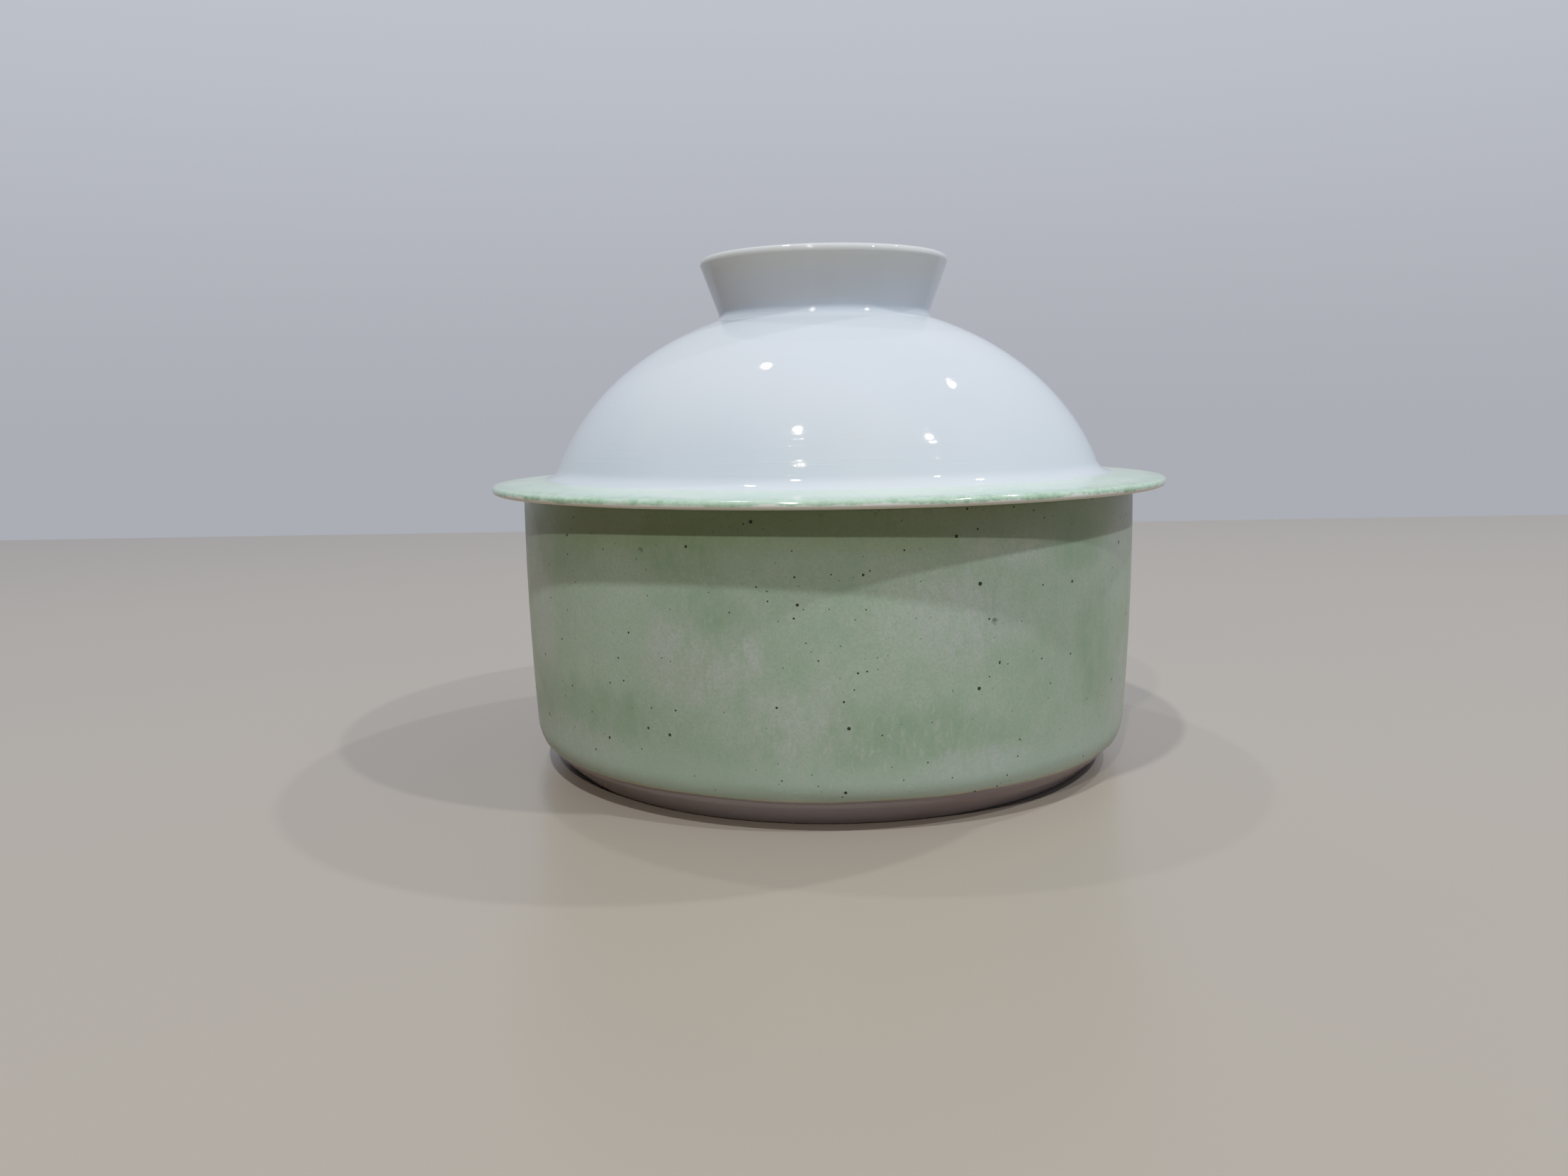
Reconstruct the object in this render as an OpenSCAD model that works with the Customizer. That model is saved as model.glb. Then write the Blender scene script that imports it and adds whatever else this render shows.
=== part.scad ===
// Covered rice bowl: a straight-walled porcelain bowl with a coloured glaze coat,
// and a domed lid whose wide brim overhangs the wall and whose ring knob is open on top.
// The origin is the centre of the foot on the table, +Z runs up the axis. Millimetres.

/* [Bowl] */
// Widest outer radius of the glazed wall
belly_r = 89.2; // [80:0.1:92]
// Height at which the wall is widest
belly_z = 62; // [50:1:70]
// Radius of the wall's slight barrel curve
barrel_r = 900; // [700:10:3000]
// Height of the rim
rim_z = 79; // [72:0.1:90]
// Thickness of the porcelain wall
wall_t = 3.9; // [3.4:0.1:4.6]
// Height of the floor inside
floor_z = 8.6; // [7.6:0.1:12]
// Radius of the rounded corner inside
inner_corner_r = 11; // [6:0.5:20]
// Radius of the rounded corner outside, over the glaze
corner_r = 12; // [9:0.5:14]
// Height of the outer corner's centre
corner_z = 13.65; // [13:0.05:16]
// Roundness of the rim's edges
rim_round = 1.2; // [1:0.1:1.5]

/* [Foot] */
// Angle at which the corner runs out into the foot's cone
foot_angle = 45; // [40:1:55]
// Roundness of the foot's outer edge
foot_round = 2; // [1:0.1:3]
// Width of the ring that stands on the table
land_w = 3; // [2:0.1:5]
// Depth of the hollow under the floor
recess_h = 3.8; // [2:0.1:3.9]

/* [Glaze] */
// Thickness of the coat on the bowl
bowl_glaze_t = 0.45; // [0.3:0.05:0.6]
// Thickness of the coat on the lid's brim
brim_glaze_t = 0.35; // [0.25:0.05:0.45]
// Angle on the outer corner where the bowl's coat ends
glaze_line_angle = 26.5; // [15:0.5:38]

/* [Lid] */
// Outer radius of the dome's ellipse
dome_a = 82.9; // [82:0.1:84]
// Height of the dome's ellipse above its centre
dome_b = 66.8; // [58:0.1:72]
// Height of the ellipse's centre
dome_z = 65.5; // [64:0.1:66.5]
// Thickness of the dome
dome_t = 3.4; // [3:0.1:4]
// Outer radius of the brim
brim_r = 98; // [95:0.5:102]
// Radius of the soft fillet between dome and brim
fillet_r = 5; // [4:0.1:6]
// Angle on the dome's ellipse where that fillet starts
fillet_angle = 17.7; // [17:0.1:19]
// Slope of the brim's top towards its edge
brim_slope = 5.3; // [4:0.1:6]
// Gap between the brim and the rim that it rests on
seat_gap = 0.1; // [0.05:0.05:0.3]
// Outer radius of the ring that drops into the bowl
locator_r = 83.2; // [82.8:0.1:83.6]
// Depth of that ring below the brim
locator_h = 8; // [5:0.5:10]

/* [Knob] */
// Height of the knob's rim above the table
knob_z = 145; // [141:0.5:150]
// Lean of the knob's wall away from upright
knob_lean = 20.4; // [10:0.2:26]
// Thickness of the knob's wall
knob_t = 3.2; // [2.8:0.1:4]
// Radius of the fillets where the knob meets the dome
knob_fillet = 2; // [1:0.1:2.5]
// Angle on the dome's ellipse where the outer fillet starts
knob_out_angle = 67; // [66:0.5:68]
// Angle on the dome's ellipse where the inner fillet starts
knob_in_angle = 72; // [71.5:0.5:73]

/* [Hidden] */
$fn = 128;
porcelain = "whitesmoke";
celadon = "darkseagreen";

// Points along an arc about centre c, from angle a0 to angle a1
function arc(c, r, a0, a1, n) =
    [for (i = [0:n]) c + r * dir(a0 + (a1 - a0) * i / n)];
function dir(a) = [cos(a), sin(a)];
function unit(v) = v / norm(v);
function reversed(v) = [for (i = [len(v) - 1:-1:0]) v[i]];

// Turns an outline of joined stretches about the axis, without the points where two stretches meet
module turned(v) {
    distinct = [for (i = [0:len(v) - 1]) if (i == 0 || norm(v[i] - v[i - 1]) > 0.001) v[i]];
    rotate_extrude() polygon(distinct);
}

// --- Bowl: the barrel curve, shared by both faces of the wall and of the coat ---
barrel_c = [belly_r - barrel_r, belly_z];
body_barrel_r = barrel_r - bowl_glaze_t;
inner_barrel_r = body_barrel_r - wall_t;
// Angle on a barrel of radius R at which an inner circle of radius r has its centre at height z
function turn_angle(R, r, z) = asin((z - belly_z) / (R - r));
function turn_centre(R, r, z) = barrel_c + (R - r) * dir(turn_angle(R, r, z));

corner_c = turn_centre(barrel_r, corner_r, corner_z);
corner_a = turn_angle(barrel_r, corner_r, corner_z);
rim_c = turn_centre(barrel_r, rim_round, rim_z - rim_round);
rim_a = turn_angle(barrel_r, rim_round, rim_z - rim_round);
coat_end_a = 60;
body_corner_r = corner_r - bowl_glaze_t;
body_rim_round = rim_round - bowl_glaze_t;

// --- Foot: a cone from the corner to a rounded edge ---
foot_n = dir(-foot_angle);
foot_start = corner_c + body_corner_r * foot_n;
foot_edge_x = (foot_start * foot_n - foot_round + foot_round * sin(foot_angle)) / cos(foot_angle);
land_in_x = foot_edge_x - land_w;
recess_round = 1.2;

// --- Inside of the bowl ---
inner_c = turn_centre(inner_barrel_r, inner_corner_r, floor_z + inner_corner_r);
inner_a = turn_angle(inner_barrel_r, inner_corner_r, floor_z + inner_corner_r);
inner_rim_z = rim_z - rim_round;
inner_rim_a = asin((inner_rim_z - belly_z) / inner_barrel_r);
inner_rim_x = barrel_c[0] + inner_barrel_r * cos(inner_rim_a);

// Outer face of the wall, bottom to rim: coat = 0 on the porcelain, bowl_glaze_t on the coat
function wall_face(coat) = concat(
    arc(corner_c, body_corner_r + coat, -glaze_line_angle, corner_a, 6),
    arc(barrel_c, body_barrel_r + coat, corner_a, rim_a, 14),
    arc(rim_c, body_rim_round + coat, rim_a, coat_end_a, 4));

// --- Lid: ellipses of the dome's two faces ---
function dome_pt(a) = [dome_a * cos(a), dome_z + dome_b * sin(a)];
function dome_n(a) = unit([cos(a) / dome_a, sin(a) / dome_b]);
function dome(a0, a1, n) = [for (i = [0:n]) dome_pt(a0 + (a1 - a0) * i / n)];
under_a = dome_a - dome_t;
under_b = dome_b - dome_t;
function under_dome(a0, a1, n) =
    [for (i = [0:n]) let (a = a0 + (a1 - a0) * i / n) [under_a * cos(a), dome_z + under_b * sin(a)]];

// --- Brim: fillet from the dome, sloping top, round edge, flat underside ---
seat_z = rim_z + seat_gap;
fillet_c = dome_pt(fillet_angle) + fillet_r * dome_n(fillet_angle);
fillet_start_a = 180 + atan2(dome_n(fillet_angle)[1], dome_n(fillet_angle)[0]);
brim_n = dir(90 - brim_slope);
brim_root = fillet_c - fillet_r * brim_n;
// Radius of an edge that touches the underside, the brim's outer radius and the sloping top
edge_round = (brim_root * brim_n - seat_z * brim_n[1] - brim_r * brim_n[0])
    / (1 + brim_n[1] - brim_n[0]);
edge_c = [brim_r - edge_round, seat_z + edge_round];
brim_coat_end_a = -72;

// Top and edge of the brim, edge to root: coat = 0 on the porcelain, brim_glaze_t on the coat
function brim_face(coat) = concat(
    arc(edge_c, edge_round - brim_glaze_t + coat, brim_coat_end_a, 90 - brim_slope, 10),
    [brim_root + (coat - brim_glaze_t) * brim_n]);

// --- Ring that keeps the lid on the bowl ---
locator_z = seat_z - locator_h;
locator_round = 1.6;
locator_fillet = 1;
under_start_a = asin((locator_z + locator_round - dome_z) / under_b);
under_start = [under_a * cos(under_start_a), dome_z + under_b * sin(under_start_a)];

// --- Knob: cone between two fillets on the dome and a round rim ---
knob_n = dir(-knob_lean);
knob_up = dir(90 - knob_lean);
knob_out_c = dome_pt(knob_out_angle) + knob_fillet * dome_n(knob_out_angle);
knob_in_c = dome_pt(knob_in_angle) + knob_fillet * dome_n(knob_in_angle);
knob_rim_r = knob_t / 2;
knob_foot = knob_out_c - (knob_fillet + knob_rim_r) * knob_n;
knob_rim_c = knob_foot + knob_up * (knob_z - knob_rim_r - knob_foot[1]) / knob_up[1];
function down_a(a) = 180 + atan2(dome_n(a)[1], dome_n(a)[0]);

// White porcelain bowl: recessed foot, wall, rim and inside in one turned piece
module bowl_body() {
    color(porcelain) turned(concat(
        [[0, recess_h]],
        arc([land_in_x - 2 * recess_round, recess_h - recess_round], recess_round, 90, 30, 3),
        arc([land_in_x + 0.6, 0.6], 0.6, 180, 270, 3),
        arc([foot_edge_x, foot_round], foot_round, -90, -foot_angle, 4),
        arc(corner_c, body_corner_r, -foot_angle, -glaze_line_angle, 3),
        wall_face(0),
        arc(rim_c, rim_round, coat_end_a, 90, 3),
        arc([inner_rim_x + rim_round, inner_rim_z], rim_round, 90, 180, 5),
        arc(barrel_c, inner_barrel_r, inner_rim_a, inner_a, 14),
        arc(inner_c, inner_corner_r, inner_a, -90, 10),
        [[0, floor_z]]));
}

// Coloured glaze coat on the outside of the wall
module bowl_glaze() {
    color(celadon) turned(concat(
        wall_face(bowl_glaze_t),
        reversed(wall_face(0))));
}

// White porcelain dome with its brim and the ring that drops into the bowl
module lid_body() {
    color(porcelain) turned(concat(
        [[0, dome_z + under_b]],
        under_dome(90, under_start_a, 28),
        arc([under_start[0] + locator_round, locator_z + locator_round], locator_round, 180, 270, 5),
        arc([locator_r - locator_round, locator_z + locator_round], locator_round, 270, 360, 5),
        arc([locator_r + locator_fillet, seat_z - locator_fillet], locator_fillet, 180, 90, 4),
        arc(edge_c, edge_round, -90, brim_coat_end_a, 2),
        brim_face(0),
        arc(fillet_c, fillet_r, 270 - brim_slope, fillet_start_a, 6),
        dome(fillet_angle, knob_out_angle, 24),
        dome(knob_out_angle, knob_in_angle, 5),
        dome(knob_in_angle, 90, 6)));
}

// Coloured glaze coat on the brim's top and round its edge
module lid_brim_glaze() {
    color(celadon) turned(concat(
        brim_face(brim_glaze_t),
        reversed(brim_face(0))));
}

// Flared ring, open on top, that the lid is lifted by and stands on when turned over
module lid_knob() {
    color(porcelain) turned(concat(
        dome(knob_out_angle, knob_in_angle, 5),
        arc(knob_in_c, knob_fillet, down_a(knob_in_angle), 360 - knob_lean, 4),
        arc(knob_rim_c, knob_rim_r, 180 - knob_lean, -knob_lean, 10),
        arc(knob_out_c, knob_fillet, 180 - knob_lean, down_a(knob_out_angle), 4)));
}

bowl_body();
bowl_glaze();
lid_body();
lid_brim_glaze();
lid_knob();
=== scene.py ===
"""Covered rice bowl: turned porcelain pieces with their glaze coats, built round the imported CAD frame."""
import math

import bpy
from mathutils import Euler, Matrix, Vector, noise


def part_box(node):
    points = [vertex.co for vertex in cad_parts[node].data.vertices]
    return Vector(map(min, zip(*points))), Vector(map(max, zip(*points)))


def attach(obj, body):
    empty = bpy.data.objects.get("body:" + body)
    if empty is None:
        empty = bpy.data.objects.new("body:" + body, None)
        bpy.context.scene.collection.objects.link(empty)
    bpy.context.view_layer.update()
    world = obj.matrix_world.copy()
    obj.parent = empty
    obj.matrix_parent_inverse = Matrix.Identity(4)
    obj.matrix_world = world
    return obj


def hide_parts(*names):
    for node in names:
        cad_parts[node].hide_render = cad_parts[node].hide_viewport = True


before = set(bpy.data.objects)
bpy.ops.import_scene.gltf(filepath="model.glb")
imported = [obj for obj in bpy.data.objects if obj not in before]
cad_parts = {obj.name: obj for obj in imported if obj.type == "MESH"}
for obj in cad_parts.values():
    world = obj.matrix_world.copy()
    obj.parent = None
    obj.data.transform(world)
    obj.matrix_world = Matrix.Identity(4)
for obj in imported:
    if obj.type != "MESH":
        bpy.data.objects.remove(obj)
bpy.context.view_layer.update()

MM = 0.001
SEGMENTS = 384                      # steps round the axis
LONGEST_STEP = 2.4 * MM             # along an outline
FINEST_TURN = math.radians(7)       # between two points of an arc
SAME_POINT = 0.001 * MM             # points nearer than this are one
SHARP_TURN = math.radians(50)       # a turn between two faces that isn't shaded smooth
BAKE_UV = "OFBake"

# ---------------------------------------------------------------- sizes
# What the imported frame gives
RIM_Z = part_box("bowl_body")[1][2]
BELLY_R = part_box("bowl_glaze")[1][0]
BRIM_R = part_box("lid_brim_glaze")[1][0]
LOCATOR_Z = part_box("lid_body")[0][2]
KNOB_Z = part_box("lid_knob")[1][2]

# The rest of the outline, as the CAD has it
BELLY_Z = 62 * MM
BARREL_R = 900 * MM
WALL_T = 3.9 * MM
FLOOR_Z = 8.6 * MM
INNER_CORNER_R = 11 * MM
CORNER_R = 12 * MM
CORNER_Z = 13.65 * MM
RIM_ROUND = 1.2 * MM
FOOT_ANGLE = 45
FOOT_ROUND = 2 * MM
LAND_W = 3 * MM
RECESS_H = 3.8 * MM
RECESS_ROUND = 1.2 * MM
LAND_ROUND = 0.6 * MM
BOWL_GLAZE_T = 0.45 * MM
BRIM_GLAZE_T = 0.35 * MM
GLAZE_LINE_ANGLE = 26.5
COAT_END_ANGLE = 60
DOME_A = 82.9 * MM
DOME_B = 66.8 * MM
DOME_Z = 65.5 * MM
DOME_T = 3.4 * MM
FILLET_R = 5 * MM
FILLET_ANGLE = 17.7
BRIM_SLOPE = 5.3
BRIM_COAT_END = -72
SEAT_Z = RIM_Z + 0.1 * MM
LOCATOR_R = 83.2 * MM
LOCATOR_ROUND = 1.6 * MM
LOCATOR_FILLET = 1 * MM
KNOB_LEAN = 20.4
KNOB_T = 3.2 * MM
KNOB_FILLET = 2 * MM
KNOB_OUT_ANGLE = 67
KNOB_IN_ANGLE = 72
# How far a coat or the knob reaches into the piece that carries it, so that no gap shows
BEDDING = 0.15 * MM


# ---------------------------------------------------------------- outlines
def heading(angle):
    """Unit vector at an angle in degrees in the plane of an outline: (away from the axis, up)."""
    return Vector((math.cos(math.radians(angle)), math.sin(math.radians(angle))))


def arc(centre, radius, start, end):
    """Points along an arc, close enough together to look round."""
    turn = math.radians(abs(end - start))
    steps = max(2, math.ceil(turn / FINEST_TURN), math.ceil(turn * radius / LONGEST_STEP))
    return [centre + radius * heading(start + (end - start) * i / steps) for i in range(steps + 1)]


def joined(*stretches):
    """One outline from stretches, with long straights divided and repeated points dropped."""
    points = [p for stretch in stretches for p in stretch]
    outline = [points[0]]
    for p in points[1:]:
        gap = (p - outline[-1]).length
        if gap < SAME_POINT:
            continue
        start, parts = outline[-1], math.ceil(gap / LONGEST_STEP)
        outline += [start.lerp(p, i / parts) for i in range(1, parts + 1)]
    return outline


# The barrel curve that both faces of the wall and of its coat share
BARREL_C = Vector((BELLY_R - BARREL_R, BELLY_Z))
BODY_BARREL_R = BARREL_R - BOWL_GLAZE_T
INNER_BARREL_R = BODY_BARREL_R - WALL_T


def turn_in(barrel, radius, z):
    """(centre, angle) of a circle of that radius at height z that touches a barrel from inside."""
    angle = math.degrees(math.asin((z - BELLY_Z) / (barrel - radius)))
    return BARREL_C + (barrel - radius) * heading(angle), angle


CORNER_C, CORNER_A = turn_in(BARREL_R, CORNER_R, CORNER_Z)
RIM_C, RIM_A = turn_in(BARREL_R, RIM_ROUND, RIM_Z - RIM_ROUND)
GLAZE_LINE = CORNER_C + CORNER_R * heading(-GLAZE_LINE_ANGLE)


def wall_face(coat):
    """Outer face of the wall from the glaze line to the rim, over a coat of that thickness."""
    bare = coat - BOWL_GLAZE_T
    return joined(
        arc(CORNER_C, CORNER_R + bare, -GLAZE_LINE_ANGLE, CORNER_A),
        arc(BARREL_C, BARREL_R + bare, CORNER_A, RIM_A),
        arc(RIM_C, RIM_ROUND + bare, RIM_A, COAT_END_ANGLE))


def foot_edge():
    """Centre of the rounding between the foot's cone and the table."""
    lean = heading(-FOOT_ANGLE)
    start = CORNER_C + (CORNER_R - BOWL_GLAZE_T) * lean
    reach = start.dot(lean) - FOOT_ROUND + FOOT_ROUND * math.sin(math.radians(FOOT_ANGLE))
    return Vector((reach / math.cos(math.radians(FOOT_ANGLE)), FOOT_ROUND))


FOOT_C = foot_edge()
LAND_IN = FOOT_C.x - LAND_W


def bowl_outline():
    """The porcelain bowl, from the axis under its floor round the foot, wall and rim to the axis inside."""
    inner_c, inner_a = turn_in(INNER_BARREL_R, INNER_CORNER_R, FLOOR_Z + INNER_CORNER_R)
    rim_z = RIM_Z - RIM_ROUND
    inner_rim_a = math.degrees(math.asin((rim_z - BELLY_Z) / INNER_BARREL_R))
    inner_rim = BARREL_C + INNER_BARREL_R * heading(inner_rim_a)
    return joined(
        [Vector((0, RECESS_H))],
        arc(Vector((LAND_IN - 2 * RECESS_ROUND, RECESS_H - RECESS_ROUND)), RECESS_ROUND, 90, 30),
        arc(Vector((LAND_IN + LAND_ROUND, LAND_ROUND)), LAND_ROUND, 180, 270),
        arc(FOOT_C, FOOT_ROUND, -90, -FOOT_ANGLE),
        arc(CORNER_C, CORNER_R - BOWL_GLAZE_T, -FOOT_ANGLE, -GLAZE_LINE_ANGLE),
        wall_face(0),
        arc(RIM_C, RIM_ROUND, COAT_END_ANGLE, 90),
        arc(Vector((inner_rim.x + RIM_ROUND, rim_z)), RIM_ROUND, 90, 180),
        arc(BARREL_C, INNER_BARREL_R, inner_rim_a, inner_a),
        arc(inner_c, INNER_CORNER_R, inner_a, -90),
        [Vector((0, FLOOR_Z))])


def coat_outline(outer, inner):
    """A closed coat between two faces, with a rolled edge at each end."""
    def edge(a, b):
        middle, radius = (a + b) / 2, (a - b).length / 2
        start = math.degrees(math.atan2(a.y - middle.y, a.x - middle.x))
        return arc(middle, radius, start, start + 180)
    return joined(outer, edge(outer[-1], inner[-1]), inner[::-1], edge(inner[0], outer[0]))[:-1]


def dome_point(angle, inset=0.0):
    a, b = DOME_A - inset, DOME_B - inset
    return Vector((a * math.cos(math.radians(angle)), DOME_Z + b * math.sin(math.radians(angle))))


def dome_normal(angle):
    a = math.radians(angle)
    return Vector((math.cos(a) / DOME_A, math.sin(a) / DOME_B)).normalized()


def dome(start, end, inset=0.0):
    steps = math.ceil(abs(end - start) * math.radians(1) * DOME_A / LONGEST_STEP)
    return [dome_point(start + (end - start) * i / steps, inset) for i in range(steps + 1)]


FILLET_C = dome_point(FILLET_ANGLE) + FILLET_R * dome_normal(FILLET_ANGLE)
BRIM_N = heading(90 - BRIM_SLOPE)
BRIM_ROOT = FILLET_C - FILLET_R * BRIM_N
EDGE_ROUND = (BRIM_ROOT.dot(BRIM_N) - SEAT_Z * BRIM_N.y - BRIM_R * BRIM_N.x) / (1 + BRIM_N.y - BRIM_N.x)
EDGE_C = Vector((BRIM_R - EDGE_ROUND, SEAT_Z + EDGE_ROUND))


def brim_face(coat):
    """Edge and top of the brim, from underneath to the dome's fillet, over a coat of that thickness."""
    bare = coat - BRIM_GLAZE_T
    return joined(
        arc(EDGE_C, EDGE_ROUND + bare, BRIM_COAT_END, 90 - BRIM_SLOPE),
        [BRIM_ROOT + bare * BRIM_N])


def facing(direction):
    return math.degrees(math.atan2(direction.y, direction.x))


def lid_outline():
    """The porcelain lid, from the axis under the dome round the ring, brim and fillet to the axis on top."""
    start_z = LOCATOR_Z + LOCATOR_ROUND
    start_a = math.degrees(math.asin((start_z - DOME_Z) / (DOME_B - DOME_T)))
    start = dome_point(start_a, DOME_T)
    return joined(
        dome(90, start_a, DOME_T),
        arc(Vector((start.x + LOCATOR_ROUND, start_z)), LOCATOR_ROUND, 180, 270),
        arc(Vector((LOCATOR_R - LOCATOR_ROUND, start_z)), LOCATOR_ROUND, 270, 360),
        arc(Vector((LOCATOR_R + LOCATOR_FILLET, SEAT_Z - LOCATOR_FILLET)), LOCATOR_FILLET, 180, 90),
        arc(EDGE_C, EDGE_ROUND, -90, BRIM_COAT_END),
        brim_face(0),
        arc(FILLET_C, FILLET_R, 270 - BRIM_SLOPE, 180 + facing(dome_normal(FILLET_ANGLE))),
        dome(FILLET_ANGLE, 90))


def knob_outline():
    """The ring knob, from the dome up its hollow side, over the rim and down its outer side."""
    lean, up = heading(-KNOB_LEAN), heading(90 - KNOB_LEAN)
    out_c = dome_point(KNOB_OUT_ANGLE) + KNOB_FILLET * dome_normal(KNOB_OUT_ANGLE)
    in_c = dome_point(KNOB_IN_ANGLE) + KNOB_FILLET * dome_normal(KNOB_IN_ANGLE)
    foot = out_c - (KNOB_FILLET + KNOB_T / 2) * lean
    rim_c = foot + up * ((KNOB_Z - KNOB_T / 2 - foot.y) / up.y)
    down_in, down_out = (180 + facing(dome_normal(a)) for a in (KNOB_IN_ANGLE, KNOB_OUT_ANGLE))
    return joined(
        dome(KNOB_OUT_ANGLE, KNOB_IN_ANGLE, BEDDING),
        arc(in_c, KNOB_FILLET, down_in, 360 - KNOB_LEAN),
        arc(rim_c, KNOB_T / 2, 180 - KNOB_LEAN, -KNOB_LEAN),
        arc(out_c, KNOB_FILLET, 180 - KNOB_LEAN, down_out))


# ---------------------------------------------------------------- turning
# Waves in the clay: how long and how deep, and how near to the axis they fade out
WAVE_LENGTH = 38 * MM
WAVE_DEPTH = 0.05 * MM
FINE_LENGTH = 11 * MM
FINE_DEPTH = 0.008 * MM
WAVES_FADE_R = 20 * MM
# How the coat's lower edge wanders: the height over which that fades out, and two lengths and heights
WANDER_FADE = 5 * MM
LONG_WANDER = 23 * MM
LONG_WANDER_H = 0.30 * MM
SHORT_WANDER = 5 * MM
SHORT_WANDER_H = 0.14 * MM


def outward(angle):
    """Unit vector away from the axis at an angle in radians round it."""
    return Vector((math.cos(angle), math.sin(angle), 0))


def unevenness(point, size, seed):
    """Smooth noise from -1 to 1 that changes over lengths of about size."""
    return noise.noise(point / size + Vector((seed, 3.7 * seed, -seed)))


def hand_made(point):
    """How far a point of the clay lies inside the true outline: soft waves left by turning and firing."""
    waves = 0.5 + 0.5 * unevenness(point, WAVE_LENGTH, 2.0)
    fine = 0.5 + 0.5 * unevenness(point, FINE_LENGTH, 5.0)
    return WAVE_DEPTH * waves + FINE_DEPTH * fine


def ragged_glaze_line(point, angle):
    """The coat's lower edge wanders up and down a little, and the wandering fades out above it."""
    near = max(0.0, 1 - (point.z - GLAZE_LINE.y) / WANDER_FADE)
    out = outward(angle)
    around = out * GLAZE_LINE.x
    long_wander = LONG_WANDER_H * unevenness(around, LONG_WANDER, 8.0)
    short_wander = SHORT_WANDER_H * unevenness(around, SHORT_WANDER, 9.0)
    slide = min(1.0, near) ** 2 * (long_wander + short_wander)
    return slide * (Vector((0, 0, 1)) + out * math.tan(math.radians(GLAZE_LINE_ANGLE)))


def shares(path):
    """How far along a path each of its points lies, from 0 to 1."""
    lengths = [0.0]
    for a, b in zip(path, path[1:]):
        lengths.append(lengths[-1] + (b - a).length)
    return [s / lengths[-1] for s in lengths]


def turned_points(ring, shift):
    """The points of an outline at each step round the axis, with the clay's waves."""
    points = []
    for i in range(SEGMENTS):
        angle = 2 * math.pi * i / SEGMENTS
        out = outward(angle)
        for r, z in ring:
            point = out * r + Vector((0, 0, z))
            point -= out * hand_made(point) * min(1.0, r / WAVES_FADE_R)
            if shift:
                point += shift(point, angle)
            points.append(point)
    return points


def steps_round(count):
    """For each step round the axis: where its points and the next step's points start, and both as shares
    of a full turn."""
    for i in range(SEGMENTS):
        yield i * count, (i + 1) % SEGMENTS * count, i / SEGMENTS, (i + 1) / SEGMENTS


def lathe(name, outline, shift=None):
    """A closed mesh turned from an outline that starts and ends on the axis or closes on itself.
    shift(point, angle) moves points off the true shape."""
    on_axis = outline[0].x < SAME_POINT
    ring = outline[1:-1] if on_axis else outline
    along = shares(outline) if on_axis else shares(outline + [outline[0]])
    verts = turned_points(ring, shift)
    count = len(ring)
    rows, first = (count - 1, 1) if on_axis else (count, 0)
    faces, corners = [], []
    for here, there, u0, u1 in steps_round(count):
        for j in range(rows):
            k = (j + 1) % count
            faces.append((here + j, there + j, there + k, here + k))
            v0, v1 = along[j + first], along[j + first + 1]
            corners += [(u0, v0), (u1, v0), (u1, v1), (u0, v1)]
    if on_axis:
        bottom, top = len(verts), len(verts) + 1
        verts += [Vector((0, 0, outline[0].y)), Vector((0, 0, outline[-1].y))]
        for here, there, u0, u1 in steps_round(count):
            middle = (u0 + u1) / 2
            faces.append((bottom, there, here))
            corners += [(middle, 0.0), (u1, along[1]), (u0, along[1])]
            faces.append((top, here + count - 1, there + count - 1))
            corners += [(middle, 1.0), (u0, along[-2]), (u1, along[-2])]
    return mesh_piece(name, verts, faces, corners)


def mesh_piece(name, verts, faces, corners):
    mesh = bpy.data.meshes.new(name)
    mesh.from_pydata(verts, [], faces)
    layer = mesh.uv_layers.new(name=BAKE_UV)
    layer.data.foreach_set("uv", [c for pair in corners for c in pair])
    mesh.shade_smooth()
    mesh.set_sharp_from_angle(angle=SHARP_TURN)
    mesh.validate()
    piece = bpy.data.objects.new(name, mesh)
    bpy.context.scene.collection.objects.link(piece)
    return piece


# ---------------------------------------------------------------- materials
# The sockets of a Mix node that mixes colours, by number: its other kinds of mix share their names
MIX_A, MIX_B, MIXED = 6, 7, 2


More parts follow.
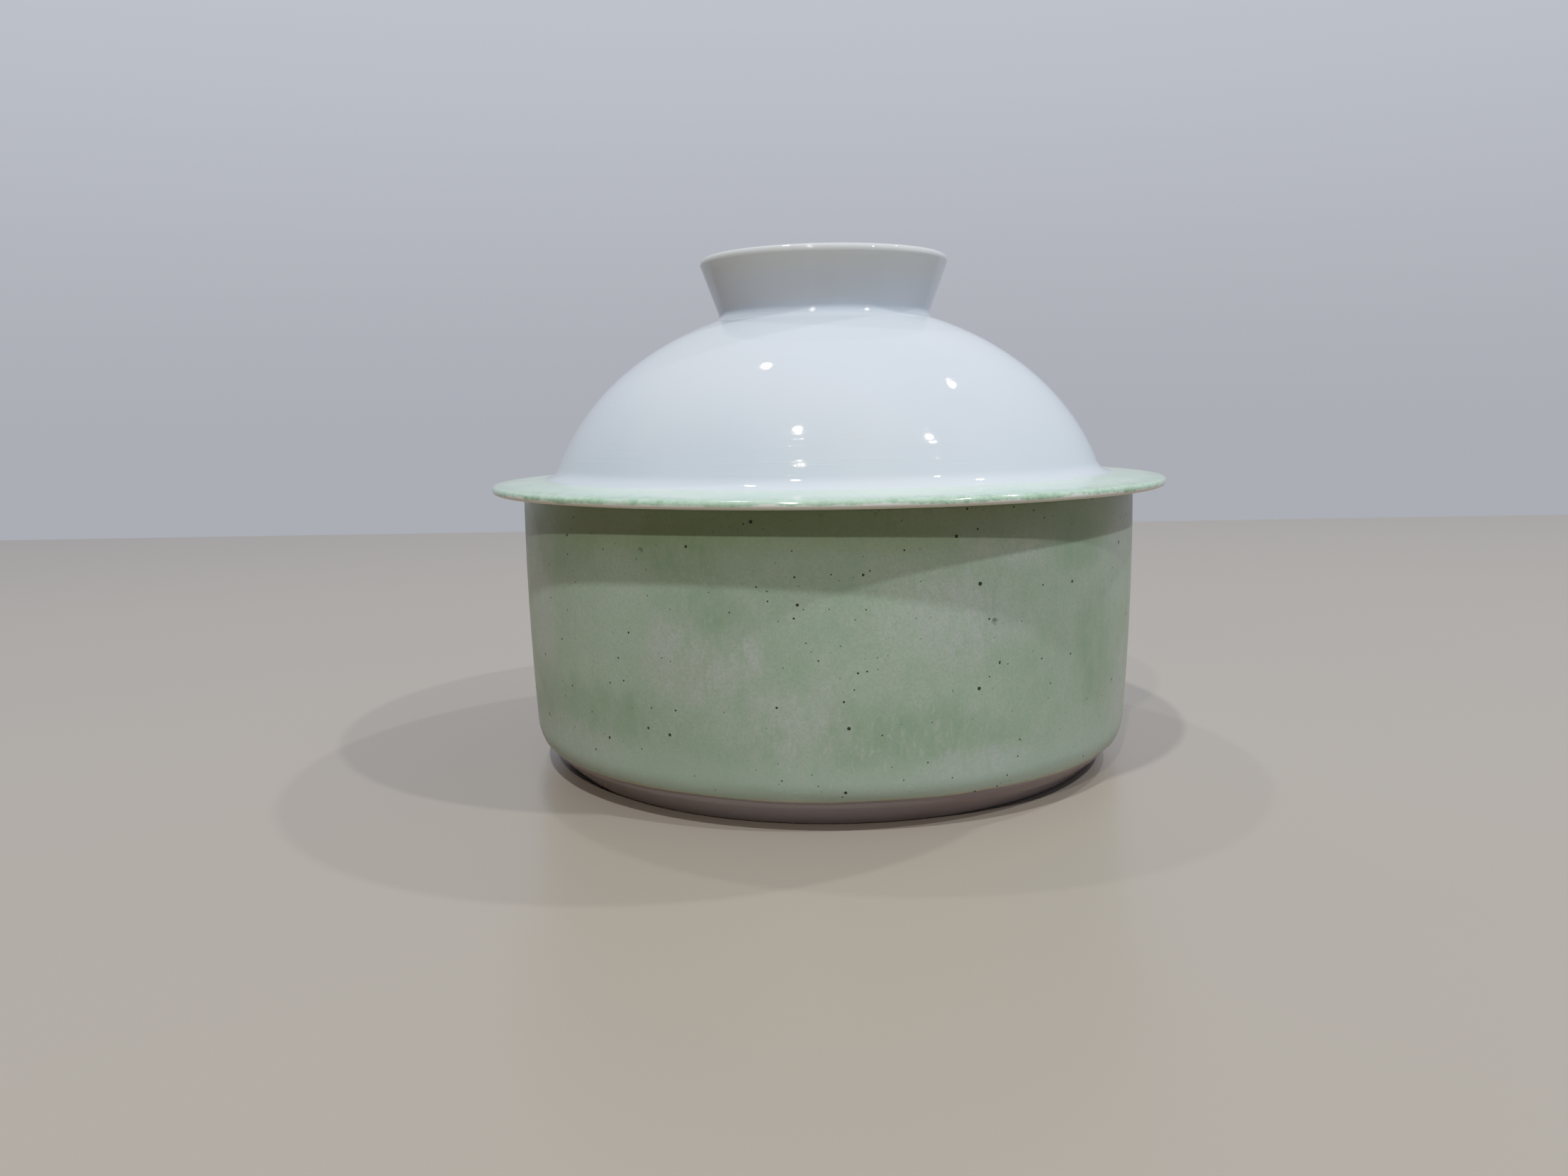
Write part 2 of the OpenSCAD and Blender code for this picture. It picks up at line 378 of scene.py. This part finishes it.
class Shader:
    """A material under construction: each call adds one node and gives back its output socket."""

    def __init__(self, name):
        self.material = bpy.data.materials.new(name)
        self.material.use_nodes = True
        self.tree = self.material.node_tree
        self.surface = self.tree.nodes["Principled BSDF"]
        self.place = self.node("ShaderNodeTexCoord").outputs["Object"]

    def node(self, kind, inputs=None, **settings):
        made = self.tree.nodes.new(kind)
        for key, value in settings.items():
            setattr(made, key, value)
        for key, value in (inputs or {}).items():
            self.feed(made.inputs[key], value)
        return made

    def feed(self, socket, value):
        if isinstance(value, bpy.types.NodeSocket):
            self.tree.links.new(value, socket)
        else:
            socket.default_value = value

    def set(self, **values):
        for key, value in values.items():
            self.feed(self.surface.inputs[key.replace("_", " ")], value)

    def stretched(self, x, y, z):
        scale = self.node("ShaderNodeVectorMath", {0: self.place, 1: (x, y, z)}, operation="MULTIPLY")
        return scale.outputs[0]

    def noise(self, scale, detail=3.0, roughness=0.5, vector=None, distortion=0.0):
        made = self.node("ShaderNodeTexNoise", {
            "Vector": vector or self.place, "Scale": scale, "Detail": detail,
            "Roughness": roughness, "Distortion": distortion})
        return made.outputs["Fac"]

    def ramp(self, value, low, high, start=0.0, end=1.0, smooth=True):
        """value mapped from low..high to start..end, eased at both ends."""
        made = self.node("ShaderNodeMapRange", {
            "Value": value, "From Min": low, "From Max": high, "To Min": start, "To Max": end},
            interpolation_type="SMOOTHSTEP" if smooth else "LINEAR")
        return made.outputs["Result"]

    def math(self, operation, a, b):
        return self.node("ShaderNodeMath", {0: a, 1: b}, operation=operation).outputs[0]

    def mix(self, factor, a, b):
        made = self.node("ShaderNodeMix", {0: factor, MIX_A: a, MIX_B: b}, data_type="RGBA")
        return made.outputs[MIXED]

    def height(self):
        return self.node("ShaderNodeSeparateXYZ", {0: self.place}).outputs["Z"]

    def length(self, vector):
        return self.node("ShaderNodeVectorMath", {0: vector}, operation="LENGTH").outputs["Value"]

    def from_axis(self):
        return self.length(self.stretched(1, 1, 0))

    def jittered(self, value, scale, detail, by, roughness=0.5):
        """value moved up and down by at most that length, so that the line it draws looks hand made."""
        jitter = self.ramp(self.noise(scale, detail, roughness), 0.3, 0.7, -by, by, smooth=False)
        return self.math("ADD", value, jitter)

    def times(self, a, b):
        return self.math("MULTIPLY", a, b)

    def specks(self, spacing, largest, chance, seed):
        """1 inside scattered round specks up to that radius, one in a share of the cells of that size."""
        moved = self.node("ShaderNodeVectorMath", {0: self.place, 1: (seed, seed, seed)}, operation="ADD")
        cells = self.node("ShaderNodeTexVoronoi", {"Vector": moved.outputs[0], "Scale": 1 / spacing})
        luck = self.node("ShaderNodeSeparateColor", {0: cells.outputs["Color"]}).outputs["Red"]
        radius = self.ramp(luck, 1 - chance, 1.0, 0.0, largest / spacing, smooth=False)
        inside = self.math("SUBTRACT", radius, cells.outputs["Distance"])
        return self.ramp(inside, 0.0, 0.12 * largest / spacing)

    def bump(self, height, depth, under=None):
        inputs = {"Height": height, "Distance": depth, "Strength": 1.0}
        if under is not None:
            inputs["Normal"] = under
        return self.node("ShaderNodeBump", inputs).outputs["Normal"]


# Colours are linear light. The white porcelain:
COOL_WHITE = (0.540, 0.602, 0.692, 1)
PALE_WHITE = (0.590, 0.642, 0.717, 1)
WARM_PATCH = (0.600, 0.605, 0.610, 1)
PIN_BROWN = (0.110, 0.100, 0.090, 1)
# Painted shade: greys the whole knob, whose outward-leaning side gets less light than the dome
KNOB_SHADE_GREY = (0.500, 0.520, 0.545, 1)
KNOB_RIM_CREAM = (0.570, 0.560, 0.530, 1)
# Painted shade and reflection: the bluish tone the fillet at the knob's base takes from the dome
KNOB_FILLET_SHADE_BLUE = (0.500, 0.565, 0.665, 1)
ROOT_GREEN = (0.500, 0.640, 0.560, 1)
# Painted shade and a painted reflection of the dark table on the foot
FOOT_SHADE_GREY = (0.290, 0.242, 0.274, 1)
CLAY_DARK = (0.500, 0.480, 0.450, 1)
CLAY_PALE = (0.600, 0.585, 0.560, 1)
CLAY_RUBBED = (0.330, 0.310, 0.290, 1)
# The green glaze on the wall
SAGE_DEEP = (0.250, 0.355, 0.246, 1)
SAGE_PALE = (0.345, 0.435, 0.335, 1)
SAGE_POOLED = (0.200, 0.312, 0.195, 1)
SAGE_MILKY = (0.425, 0.452, 0.425, 1)
SAGE_HAZE = (0.370, 0.425, 0.350, 1)
SAGE_RUNS = (0.440, 0.480, 0.420, 1)
SAGE_GRAIN = (0.215, 0.290, 0.200, 1)
SAGE_LOW = (0.360, 0.455, 0.385, 1)
# Painted shade under the brim's overhang, darker and yellower
SAGE_RIM_SHADE = (0.200, 0.285, 0.125, 1)
EDGE_TAN = (0.370, 0.355, 0.255, 1)
BLOT_GREEN = (0.060, 0.105, 0.065, 1)
FAINT_SPECK = (0.060, 0.090, 0.060, 1)
IRON_BLACK = (0.014, 0.013, 0.011, 1)
# The green glaze on the brim
BRIM_GREEN = (0.440, 0.635, 0.470, 1)
BRIM_PALE = (0.570, 0.735, 0.595, 1)
BRIM_ROOT_GREY = (0.590, 0.680, 0.680, 1)
MOTTLE_PALE = (0.650, 0.765, 0.670, 1)
MOTTLE_DEEP = (0.330, 0.500, 0.340, 1)
BAND_GREEN = (0.335, 0.500, 0.345, 1)
BAND_DARK = (0.190, 0.330, 0.190, 1)
BAND_PALE = (0.600, 0.690, 0.610, 1)
BALD_CREAM = (0.800, 0.790, 0.750, 1)
EDGE_BROWN = (0.330, 0.270, 0.190, 1)
BRIM_IRON = (0.050, 0.060, 0.040, 1)


def clear_gloss(s):
    """The surface of the white glaze: shallow waves, orange peel and sparse turning lines."""
    sharp = s.ramp(s.noise(1.0, 3, 0.6, s.stretched(30, 30, 1500)), 0.52, 0.70)
    lined = s.ramp(s.noise(1.0, 2, 0.5, s.stretched(12, 12, 75)), 0.38, 0.58, 0.12, 1.0)
    relief = s.bump(s.noise(70, 2), 0.012 * MM)
    relief = s.bump(s.noise(420, 2), 0.0018 * MM, relief)
    relief = s.bump(s.times(sharp, lined), 0.014 * MM, relief)
    rough = s.ramp(s.noise(140, 4, 0.6), 0.35, 0.75, 0.025, 0.06)
    s.set(Roughness=rough, Normal=relief, IOR=1.5)


def porcelain(name, zone):
    """Cool white porcelain under a clear gloss glaze, with a few pin specks.
    zone(shader, colour, cloud) adds what one piece alone has; cloud is the soft noise behind the white."""
    s = Shader(name)
    cloud = s.noise(16, 3)
    colour = s.mix(s.ramp(cloud, 0.3, 0.7), COOL_WHITE, PALE_WHITE)
    colour = s.mix(s.ramp(s.noise(55, 4, 0.6), 0.55, 0.8, 0.0, 0.25), colour, WARM_PATCH)
    colour = zone(s, colour, cloud)
    pins = s.math("MAXIMUM", s.specks(13 * MM, 0.35 * MM, 0.35, 4.0), s.specks(9 * MM, 0.18 * MM, 0.6, 9.0))
    s.set(Base_Color=s.mix(s.times(pins, 0.75), colour, PIN_BROWN))
    clear_gloss(s)
    return s.material


def knob_zone(s, colour, cloud):
    """Painted shade makes it greyer than the dome; it is creamy along the rim; a painted shade and reflection
    makes it bluish round the base.
    """
    # Painted shade: most of the knob is mixed towards a shade grey
    colour = s.mix(0.75, colour, KNOB_SHADE_GREY)
    rim = s.times(s.ramp(s.height(), KNOB_Z - 11 * MM, KNOB_Z - 2 * MM),
                  s.ramp(s.noise(30, 2), 0.2, 0.8, 0.35, 1.0))
    colour = s.mix(rim, colour, KNOB_RIM_CREAM)
    # Painted shade and reflection: the fillet round the knob's base is tinted bluish
    base_z = dome_point(KNOB_OUT_ANGLE).y
    base = s.ramp(s.jittered(s.height(), 45, 2, 0.6 * MM), base_z + 5 * MM, base_z + 1.5 * MM, 0.0, 0.85)
    return s.mix(base, colour, KNOB_FILLET_SHADE_BLUE)


def lid_zone(s, colour, cloud):
    """A breath of green where the brim's glaze runs out against the dome."""
    near = s.ramp(s.from_axis(), BRIM_ROOT.x - 3.2 * MM, BRIM_ROOT.x + 1.2 * MM)
    outside = s.ramp(s.height(), SEAT_Z + 1.5 * MM, SEAT_Z + 2 * MM)
    tint = s.times(s.times(near, outside), s.ramp(s.noise(90, 3), 0.3, 0.7, 0.3, 0.6))
    return s.mix(tint, colour, ROOT_GREEN)


def bowl_zone(s, colour, cloud):
    """Painted shade and a painted reflection of the dark table make the foot greyer below the green glaze's
    edge.
    """
    out = s.ramp(s.from_axis(), LAND_IN - 1 * MM, LAND_IN)
    # Above the floor only the outer face counts, so that the corner inside the bowl stays white
    under_floor = s.ramp(s.height(), FLOOR_Z - 0.02 * MM, GLAZE_LINE.y)
    outer_face = s.ramp(s.from_axis(), GLAZE_LINE.x - 4 * MM, GLAZE_LINE.x - 2 * MM)
    out = s.times(out, s.math("MAXIMUM", under_floor, outer_face))
    # Painted shade and table reflection: the foot below the glaze line is greyed
    low = s.times(out, s.ramp(s.height(), GLAZE_LINE.y + 1.6 * MM, GLAZE_LINE.y + 0.2 * MM))
    return s.mix(s.times(low, s.ramp(cloud, 0.3, 0.7, 0.75, 0.95)), colour, FOOT_SHADE_GREY)


def bare_porcelain(name):
    """Unglazed fired clay where the foot stands: matt, faintly warm and rubbed grey by tables."""
    s = Shader(name)
    grain = s.noise(2600, 3, 0.7)
    colour = s.mix(s.ramp(grain, 0.3, 0.7), CLAY_DARK, CLAY_PALE)
    rub = s.ramp(s.noise(120, 5, 0.7), 0.5, 0.72)
    colour = s.mix(s.times(rub, 0.5), colour, CLAY_RUBBED)
    s.set(Base_Color=colour, Roughness=s.ramp(rub, 0, 1, 0.75, 0.55), Normal=s.bump(grain, 0.02 * MM))
    return s.material


# Where the wall's glaze has drifted milky or pooled green: (bearing, height, width, tallness). Bearing 0 is
# in front and + to the right, in degrees; the rest is in millimetres.
MILKY = [(-23, 41, 17, 11), (-9, 27, 12, 12), (-61, 46, 9, 17), (-52, 16, 22, 6), (-86, 36, 9, 24),
         (19, 53, 17, 12), (22, 15, 15, 5), (66, 24, 16, 12), (27, 70, 16, 7), (60, 68, 14, 12),
         (76, 46, 12, 22), (112, 44, 22, 16), (150, 26, 24, 12), (-165, 56, 20, 14), (-128, 30, 24, 16)]
POOLED = [(-20, 54, 8, 7), (-54, 68, 16, 8), (-24, 70, 16, 8), (12, 24, 26, 9), (48, 40, 9, 16),
          (44, 68, 13, 8), (-44, 27, 20, 8), (-64, 28, 13, 10), (94, 54, 14, 14), (132, 62, 20, 12),
          (180, 34, 22, 14), (-105, 58, 16, 14)]


def drifts(s, places, fray):
    """1 in the middle of the soft-edged places, falling to 0 over a frayed edge."""
    total = None
    for bearing, height, width, tall in places:
        b = math.radians(bearing)
        middle = (BELLY_R * math.sin(b), -BELLY_R * math.cos(b), height * MM)
        away = s.node("ShaderNodeVectorMath", {0: s.place, 1: middle}, operation="SUBTRACT").outputs[0]
        shrink = (1 / (width * MM), 1 / (width * MM), 1 / (tall * MM))
        squeezed = s.node("ShaderNodeVectorMath", {0: away, 1: shrink}, operation="MULTIPLY").outputs[0]
        inside = s.ramp(s.math("ADD", s.length(squeezed), fray), 1.35, 0.45)
        total = inside if total is None else s.math("MAXIMUM", total, inside)
    return total


def wall_body(s, clouds, milk, runs, fray):
    """The glaze away from its edges: clouds, green pools, milky drifts with a fine mottle, haze and runs."""
    colour = s.mix(s.ramp(clouds, 0.28, 0.72), SAGE_DEEP, SAGE_PALE)
    colour = s.mix(s.times(drifts(s, POOLED, fray), 0.72), colour, SAGE_POOLED)
    mottle = s.ramp(s.noise(330, 5, 0.75, s.stretched(1, 1, 0.5)), 0.36, 0.64, 0.18, 1.0)
    colour = s.mix(s.times(s.times(milk, mottle), 0.85), colour, SAGE_MILKY)
    haze = s.ramp(s.noise(230, 5, 0.75, s.stretched(1, 1, 0.55)), 0.36, 0.66)
    colour = s.mix(s.times(haze, 0.42), colour, SAGE_HAZE)
    runs_where = s.math("MAXIMUM", s.times(milk, 0.8), s.ramp(s.noise(34, 3), 0.48, 0.66, 0.10, 0.8))
    colour = s.mix(s.times(s.times(runs, runs_where), 0.58), colour, SAGE_RUNS)
    return s.mix(s.ramp(s.noise(1400, 4, 0.7), 0.35, 0.68, 0.0, 0.44), colour, SAGE_GRAIN)


def wall_specks(s, colour, iron):
    """Broken green blots, faint specks and sharp black iron specks."""
    blots = s.times(s.specks(14 * MM, 1.3 * MM, 0.35, 3.0), s.ramp(s.noise(800, 3, 0.7), 0.38, 0.62))
    colour = s.mix(s.times(blots, 0.80), colour, BLOT_GREEN)
    colour = s.mix(s.times(s.specks(2.6 * MM, 0.28 * MM, 0.60, 6.0), 0.65), colour, FAINT_SPECK)
    return s.mix(s.times(iron, 0.96), colour, IRON_BLACK)


def celadon_wall(name):
    """Satin sage green glaze, with painted shade under the rim, and thin and tan along its lower edge."""
    s = Shader(name)
    z = s.height()
    fray = s.ramp(s.noise(95, 5, 0.65, s.stretched(1, 1, 0.6)), 0.25, 0.75, -0.55, 0.55, smooth=False)
    clouds = s.noise(26, 4, 0.6, distortion=0.4)
    milk = drifts(s, MILKY, fray)
    runs = s.ramp(s.noise(1.0, 3, 0.65, s.stretched(900, 900, 260)), 0.52, 0.70)
    colour = wall_body(s, clouds, milk, runs, fray)
    colour = s.mix(s.ramp(z, 22 * MM, GLAZE_LINE.y, 0.0, 0.65), colour, SAGE_LOW)
    # Painted shade: the top of the wall under the brim's overhang is darkened and yellowed, with an uneven
    # lower edge
    uneven = s.math("ADD", z, s.ramp(clouds, 0.3, 0.7, -2 * MM, 2 * MM, smooth=False))
    colour = s.mix(s.ramp(uneven, RIM_Z - 13 * MM, RIM_Z - 6 * MM, 0.0, 0.45), colour, SAGE_RIM_SHADE)
    tan = s.ramp(s.jittered(z, 210, 3, 0.35 * MM), GLAZE_LINE.y + 0.8 * MM, GLAZE_LINE.y, 0.0, 0.80)
    colour = s.mix(tan, colour, EDGE_TAN)
    iron = s.math("MAXIMUM", s.specks(5.3 * MM, 0.60 * MM, 0.90, 1.0),
                  s.specks(2.9 * MM, 0.34 * MM, 0.90, 2.0))
    colour = wall_specks(s, colour, iron)
    relief = s.bump(s.noise(48, 2), 0.035 * MM)
    relief = s.bump(s.noise(900, 3, 0.6), 0.016 * MM, relief)
    relief = s.bump(runs, 0.010 * MM, relief)
    relief = s.bump(iron, 0.03 * MM, relief)
    rough = s.ramp(s.noise(120, 4, 0.6), 0.3, 0.7, 0.26, 0.38)
    rough = s.math("SUBTRACT", rough, s.times(tan, 0.12))
    s.set(Base_Color=colour, Roughness=rough, Normal=relief, IOR=1.5)
    return s.material


def brim_band(s, colour, out):
    """Darker broken green with paler islands towards the brim's edge."""
    band = s.ramp(out, BRIM_R - 7 * MM, BRIM_R - 0.8 * MM)
    where = s.ramp(s.noise(26, 3), 0.35, 0.62, 0.50, 1.0)
    dark = s.times(s.times(s.ramp(s.noise(380, 5, 0.85), 0.42, 0.60), band), where)
    colour = s.mix(s.times(band, 0.60), colour, BAND_GREEN)
    colour = s.mix(s.times(dark, 0.75), colour, BAND_DARK)
    pale = s.times(s.ramp(s.noise(85, 5, 0.7), 0.54, 0.70), band)
    return s.mix(s.times(pale, 0.5), colour, BAND_PALE)


def brim_lower_edge(s, colour):
    """The white clay shows cream where the glaze thins under the edge, with a broken brown line below it."""
    z = s.height()
    bald = s.ramp(s.jittered(z, 95, 4, 0.55 * MM, 0.65), SEAT_Z + 1.25 * MM, SEAT_Z + 0.75 * MM)
    colour = s.mix(s.times(bald, 0.9), colour, BALD_CREAM)
    brown = s.times(s.ramp(z, SEAT_Z + 0.25 * MM, SEAT_Z + 0.06 * MM), s.ramp(s.noise(60, 3), 0.40, 0.65))
    return s.mix(s.times(brown, 0.35), colour, EDGE_BROWN)


def celadon_brim(name):
    """The same glaze, glossier and paler on the brim's top, darker and broken along its edge."""
    s = Shader(name)
    out = s.jittered(s.from_axis(), 130, 4, 1.2 * MM, 0.6)
    colour = s.mix(s.ramp(s.noise(34, 4, 0.6), 0.3, 0.7), BRIM_GREEN, BRIM_PALE)
    colour = s.mix(s.ramp(out, BRIM_ROOT.x + 2 * MM, BRIM_ROOT.x - 1 * MM, 0.0, 0.50), colour, BRIM_ROOT_GREY)
    mottle = s.noise(620, 5, 0.8)
    colour = s.mix(s.ramp(mottle, 0.54, 0.68, 0.0, 0.42), colour, MOTTLE_PALE)
    colour = s.mix(s.ramp(mottle, 0.46, 0.34, 0.0, 0.60), colour, MOTTLE_DEEP)
    colour = brim_band(s, colour, out)
    colour = brim_lower_edge(s, colour)
    iron = s.math("MAXIMUM", s.specks(6.5 * MM, 0.45 * MM, 0.6, 1.5), s.specks(3.5 * MM, 0.24 * MM, 0.6, 2.5))
    colour = s.mix(s.times(iron, 0.85), colour, BRIM_IRON)
    relief = s.bump(s.noise(60, 2), 0.03 * MM)
    relief = s.bump(s.noise(900, 3, 0.7), 0.014 * MM, relief)
    rough = s.ramp(s.noise(120, 4, 0.6), 0.3, 0.7, 0.05, 0.12)
    s.set(Base_Color=colour, Roughness=rough, Normal=relief, IOR=1.5)
    return s.material


# ---------------------------------------------------------------- pieces
# The foot is unglazed where its faces' middles lie lower than this
BARE_BELOW = 0.25 * MM


def place(piece, body, node, material):
    piece.data.materials.append(material)
    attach(piece, body)
    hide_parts(node)


def build_bowl():
    clay = lathe("bowl_porcelain", bowl_outline())
    place(clay, "bowl", "bowl_body", porcelain("clear_glazed_porcelain", bowl_zone))
    clay.data.materials.append(bare_porcelain("bare_foot"))
    for face in clay.data.polygons:
        if face.center.z < BARE_BELOW:
            face.material_index = 1
    outer, inner = wall_face(BOWL_GLAZE_T), wall_face(-BEDDING)
    coat = lathe("bowl_green_glaze", coat_outline(outer, inner), ragged_glaze_line)
    place(coat, "bowl", "bowl_glaze", celadon_wall("sage_glaze"))


def build_lid():
    clay = lathe("lid_porcelain", lid_outline())
    place(clay, "lid", "lid_body", porcelain("lid_glazed_porcelain", lid_zone))
    coat = lathe("lid_brim_green_glaze", coat_outline(brim_face(BRIM_GLAZE_T), brim_face(-BEDDING)))
    place(coat, "lid", "lid_brim_glaze", celadon_brim("brim_glaze"))
    knob = lathe("lid_ring_knob", knob_outline())
    place(knob, "lid", "lid_knob", porcelain("knob_glazed_porcelain", knob_zone))


# ---------------------------------------------------------------- stage, light and camera
TABLE_W = 5.0
TABLE_D = 1.38
TABLE_T = 0.03
TABLE_ROUGH = 0.32
TABLE_COLOUR = (0.295, 0.246, 0.197, 1)
# What the table throws back at the bowl, as a warmer and darker wood would
TABLE_BOUNCE = (0.205, 0.150, 0.098, 1)
# The room: the backdrop at the horizon and high up, the fill of light away from and along its main
# direction, and what the glaze mirrors of the dark side of the room
BACKDROP_LOW = (0.430, 0.450, 0.510, 1)
BACKDROP_HIGH = (0.640, 0.690, 0.800, 1)
FILL_LOW = (0.030, 0.028, 0.024, 1)
FILL_HIGH = (0.32, 0.38, 0.49, 1)
ROOM_DARK = (0.050, 0.047, 0.042, 1)
# Where the room is pale, and where most of the fill comes from: (right, back, up)
PALE_SIDE = (0.35, 0.90, 0.25)
FILL_SIDE = (0.62, 0.02, 0.78)


def build_table():
    corners = [(x, y, z) for z in (-TABLE_T, 0) for y in (-TABLE_D / 2, TABLE_D / 2)
               for x in (-TABLE_W / 2, TABLE_W / 2)]
    faces = [(0, 2, 3, 1), (4, 5, 7, 6), (0, 1, 5, 4), (2, 6, 7, 3), (0, 4, 6, 2), (1, 3, 7, 5)]
    mesh = bpy.data.meshes.new("table_top")
    mesh.from_pydata(corners, [], faces)
    top = bpy.data.objects.new("table_top", mesh)
    bpy.context.scene.collection.objects.link(top)
    s = Shader("pale_table")
    seen = s.node("ShaderNodeLightPath").outputs["Is Camera Ray"]
    s.set(Base_Color=s.mix(seen, TABLE_BOUNCE, TABLE_COLOUR), Roughness=TABLE_ROUGH)
    mesh.materials.append(s.material)


# The lamps' colours
COOL = (0.90, 0.96, 1.0)
NEUTRAL = (1.0, 0.97, 0.93)


def lamp(name, bearing, elevation, distance, size, power, colour=COOL):
    """A round area light that shines at the bowl. Bearing 0 is in front of the bowl, + to its right."""
    b, e = math.radians(bearing), math.radians(elevation)
    aim = Vector((math.sin(b) * math.cos(e), -math.cos(b) * math.cos(e), math.sin(e)))
    data = bpy.data.lights.new(name, "AREA")
    data.shape = "DISK"
    data.size = size
    data.energy = power
    data.color = colour
    light = bpy.data.objects.new(name, data)
    light.location = aim * distance + Vector((0, 0, RIM_Z))
    light.rotation_euler = aim.to_track_quat("Z", "Y").to_euler()
    bpy.context.scene.collection.objects.link(light)


def build_room():
    """A pale backdrop for the camera, and a room that mirrors dark in front and pale behind.

    Cycles lights surfaces mostly with the mirrored room as well. The fill reaches only the part of
    that light that it finds by diffuse rays, so it changes the picture by a few levels in 255.
    """
    world = bpy.data.worlds.new("room")
    bpy.context.scene.world = world
    world.use_nodes = True
    nodes, links = world.node_tree.nodes, world.node_tree.links
    ray = nodes.new("ShaderNodeLightPath").outputs
    toward = nodes.new("ShaderNodeTexCoord").outputs["Generated"]

    def along(direction, start, end):
        """0 to 1 as the view direction's share along a direction goes from start to end."""
        dot = nodes.new("ShaderNodeVectorMath")
        dot.operation = "DOT_PRODUCT"
        links.new(toward, dot.inputs[0])
        dot.inputs[1].default_value = direction
        share = nodes.new("ShaderNodeMapRange")
        share.interpolation_type = "SMOOTHSTEP"
        links.new(dot.outputs["Value"], share.inputs["Value"])
        share.inputs["From Min"].default_value = start
        share.inputs["From Max"].default_value = end
        return share.outputs["Result"]

    def mixed(factor, a, b):
        mix = nodes.new("ShaderNodeMix")
        mix.data_type = "RGBA"
        links.new(factor, mix.inputs["Factor"])
        for socket, colour in ((mix.inputs[MIX_A], a), (mix.inputs[MIX_B], b)):
            if isinstance(colour, bpy.types.NodeSocket):
                links.new(colour, socket)
            else:
                socket.default_value = colour
        return mix.outputs[MIXED]

    seen = mixed(along((0, 0, 1), -0.05, 0.45), BACKDROP_LOW, BACKDROP_HIGH)
    mirrored = mixed(along(PALE_SIDE, -0.35, 0.45), ROOM_DARK, seen)
    fill = mixed(along(FILL_SIDE, 0.1, 1.0), FILL_LOW, FILL_HIGH)
    room = mixed(ray["Is Camera Ray"], mirrored, seen)
    links.new(mixed(ray["Is Diffuse Ray"], room, fill), nodes["Background"].inputs["Color"])


def build_light():
    lamp("ceiling_left_back", bearing=-139, elevation=70, distance=1.8, size=0.068, power=6)
    lamp("ceiling_right_back", bearing=115, elevation=55, distance=2.1, size=0.068, power=14)
    lamp("ceiling_left_front", bearing=-21.5, elevation=63, distance=1.8, size=0.068, power=20)
    lamp("ceiling_right_front", bearing=58, elevation=51, distance=2.1, size=0.068, power=20)
    lamp("low_front", bearing=-14, elevation=38, distance=2.2, size=0.055, power=14.5, colour=NEUTRAL)


# How the picture holds back its brightest parts: (scene brightness, shown brightness)
SHOULDER = [(0.30, 0.30), (0.60, 0.52), (1.0, 0.72)]
WHITE_AT = 2.0
# The curve that acts on red, green and blue alike, after one for each of them
ALL_COLOURS = 3


def set_response():
    """A soft shoulder as a camera has, so that the white lid keeps its shading under the lamps."""
    settings = bpy.context.scene.view_settings
    settings.view_transform = "Standard"
    settings.use_curve_mapping = True
    mapping = settings.curve_mapping
    mapping.white_level = (WHITE_AT, WHITE_AT, WHITE_AT)
    for scene_value, shown in SHOULDER:
        mapping.curves[ALL_COLOURS].points.new(scene_value / WHITE_AT, shown)
    mapping.update()


# Where the photographer stood, how far the camera looks down and leans, and its lens on a 36 mm sensor
CAMERA_AT = Vector((-0.0131, -0.3641, 0.1010))
CAMERA_PITCH = 8.35
CAMERA_ROLL = -0.946
LENS = 27.67
SENSOR_W = 36
NEAREST_SEEN = 0.01


def build_camera():
    data = bpy.data.cameras.new("camera")
    data.lens = LENS
    data.sensor_width = SENSOR_W
    data.clip_start = NEAREST_SEEN
    camera = bpy.data.objects.new("camera", data)
    level = Euler((math.radians(90 - CAMERA_PITCH), 0, 0)).to_matrix().to_4x4()
    roll = Matrix.Rotation(math.radians(CAMERA_ROLL), 4, "Z")
    camera.matrix_world = Matrix.Translation(CAMERA_AT) @ level @ roll
    bpy.context.scene.collection.objects.link(camera)
    bpy.context.scene.camera = camera


build_bowl()
build_lid()
build_table()
build_room()
build_light()
build_camera()
set_response()
